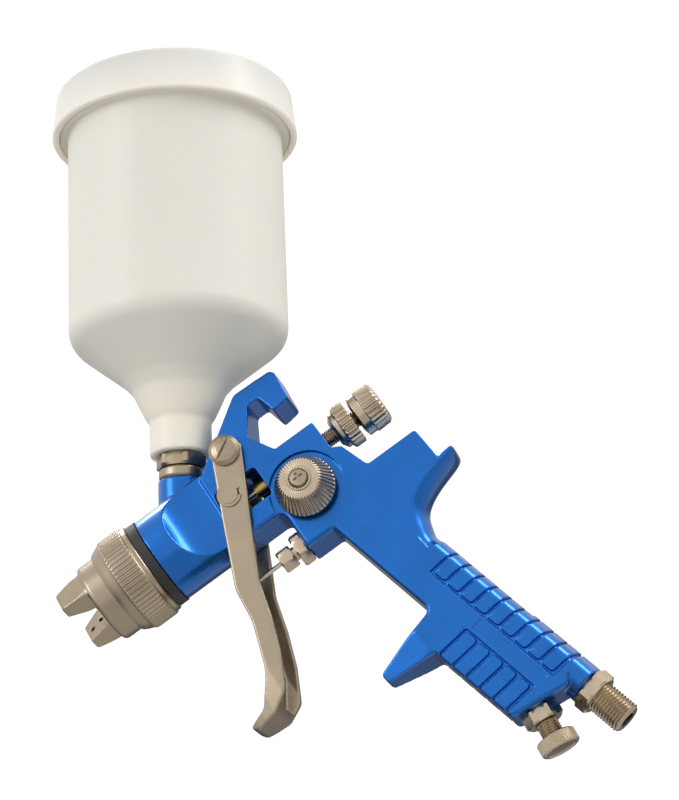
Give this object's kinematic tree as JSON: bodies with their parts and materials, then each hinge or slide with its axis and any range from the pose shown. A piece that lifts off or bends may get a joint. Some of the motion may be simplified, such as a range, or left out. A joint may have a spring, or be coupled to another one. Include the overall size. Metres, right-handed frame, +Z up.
{
  "type": "gravity feed spray gun",
  "caption": "Gravity-feed paint spray gun: blue cast body with a hanging hook, horned air cap, two-finger trigger, side fan knob, needle knob and a tilted translucent cup with a screw lid.",
  "frame": {"origin": "on the inlet thread's axis at its shoulder, where the air hose's nut seats", "axes": "X is the spray axis and -X is where the paint leaves, +Z is up towards the cup, the fan knob's side faces -Y"},
  "size_m": [0.2024, 0.1058, 0.3666],
  "materials": {
    "blue_finish": "blue anodised casting, satin gloss with a faint grain",
    "nickel": "warm satin nickel plating",
    "steel": "bright ground steel",
    "brass": "turned brass",
    "black_rubber": "matt black seal",
    "cup_plastic": "milky translucent nylon, slightly glossy",
    "lid_plastic": "milky polythene",
    "white_plastic": "plain white plastic"
  },
  "bodies": {
    "gun": {"gun_body": "blue_finish", "fluid_nozzle": "steel", "air_baffle": "nickel", "head_seal_ring": "black_rubber", "needle_packing": "white_plastic", "packing_nut": "brass", "inlet_nipple": "nickel", "inlet_collar": "nickel", "needle_guide": "nickel", "needle_spring": "steel", "valve_body": "nickel", "valve_gland_nut": "nickel", "valve_packing": "white_plastic", "valve_spring": "steel", "fan_bush": "nickel", "air_inlet": "nickel", "regulator_bushing": "nickel", "pivot_screw": "nickel", "pivot_nut": "nickel"},
    "cap_ring": {"air_cap_ring": "nickel"},
    "air_cap": {"air_cap": "nickel"},
    "trigger": {"trigger": "nickel", "needle_pull_pin": "nickel", "pin_clips": "steel"},
    "needle": {"fluid_needle": "steel", "needle_collar": "brass"},
    "valve_stem": {"valve_stem": "steel", "valve_washer": "black_rubber"},
    "needle_knob": {"needle_knob": "nickel", "needle_stop": "steel"},
    "lock_nut": {"needle_lock_nut": "nickel"},
    "fan_control": {"fan_knob": "nickel", "fan_stem": "steel", "fan_screw": "nickel"},
    "regulator": {"regulator_knob": "nickel", "regulator_stem": "nickel"},
    "cup": {"paint_cup": "cup_plastic", "cup_strainer": "white_plastic"},
    "lid": {"cup_lid": "lid_plastic", "lid_gasket": "white_plastic", "lid_vent": "white_plastic"}
  },
  "joints": [
    {"name": "trigger_pull", "type": "hinge", "parent": "gun", "child": "trigger", "pos_m": [-0.06317, 0, 0.17014], "axis": [0, -1, 0], "range_deg": [0, 11]},
    {"name": "needle_pull", "type": "slide", "parent": "gun", "child": "needle", "axis": [1, 0, 0], "range_m": [0, 0.0035], "stiffness_N_per_m": 900, "springref_m": -0.005, "deforming": ["needle_spring"]},
    {"name": "valve_push", "type": "slide", "parent": "gun", "child": "valve_stem", "axis": [1, 0, 0], "range_m": [0, 0.0112], "stiffness_N_per_m": 500, "springref_m": -0.008, "deforming": ["valve_spring"]},
    {"name": "cap_ring_turn", "type": "hinge", "parent": "gun", "child": "cap_ring", "pos_m": [-0.12387, 0, 0.15314], "axis": [1, 0, 0], "continuous": true},
    {"name": "air_cap_turn", "type": "hinge", "parent": "gun", "child": "air_cap", "pos_m": [-0.13487, 0, 0.15314], "axis": [1, 0, 0], "range_deg": [-90, 90]},
    {"name": "fluid_knob_turn", "type": "hinge", "parent": "gun", "child": "needle_knob", "pos_m": [-0.00687, 0, 0.15314], "axis": [1, 0, 0], "range_deg": [-720, 720]},
    {"name": "lock_nut_turn", "type": "hinge", "parent": "gun", "child": "lock_nut", "pos_m": [-0.01787, 0, 0.15314], "axis": [1, 0, 0], "range_deg": [-720, 720]},
    {"name": "fan_knob_turn", "type": "hinge", "parent": "gun", "child": "fan_control", "pos_m": [-0.04487, -0.018, 0.13674], "axis": [0, -1, 0], "range_deg": [-270, 270]},
    {"name": "air_regulator_turn", "type": "hinge", "parent": "gun", "child": "regulator", "pos_m": [-0.02289, 0, -0.00001], "axis": [-0.0976, 0, -0.9952], "range_deg": [-360, 360]},
    {"name": "cup_turn", "type": "hinge", "parent": "gun", "child": "cup", "pos_m": [-0.06843, 0, 0.20425], "axis": [0.524, 0, 0.8517], "range_deg": [0, 1080]},
    {"name": "lid_lift", "type": "slide", "parent": "cup", "child": "lid", "axis": [0.524, 0, 0.8517], "range_m": [0, 0.06]}
  ],
  "couplings": [
    {"joint": "needle_pull", "follows": "trigger_pull", "m_per_rad": 0.0178},
    {"joint": "valve_push", "follows": "trigger_pull", "m_per_rad": 0.058}
  ]
}
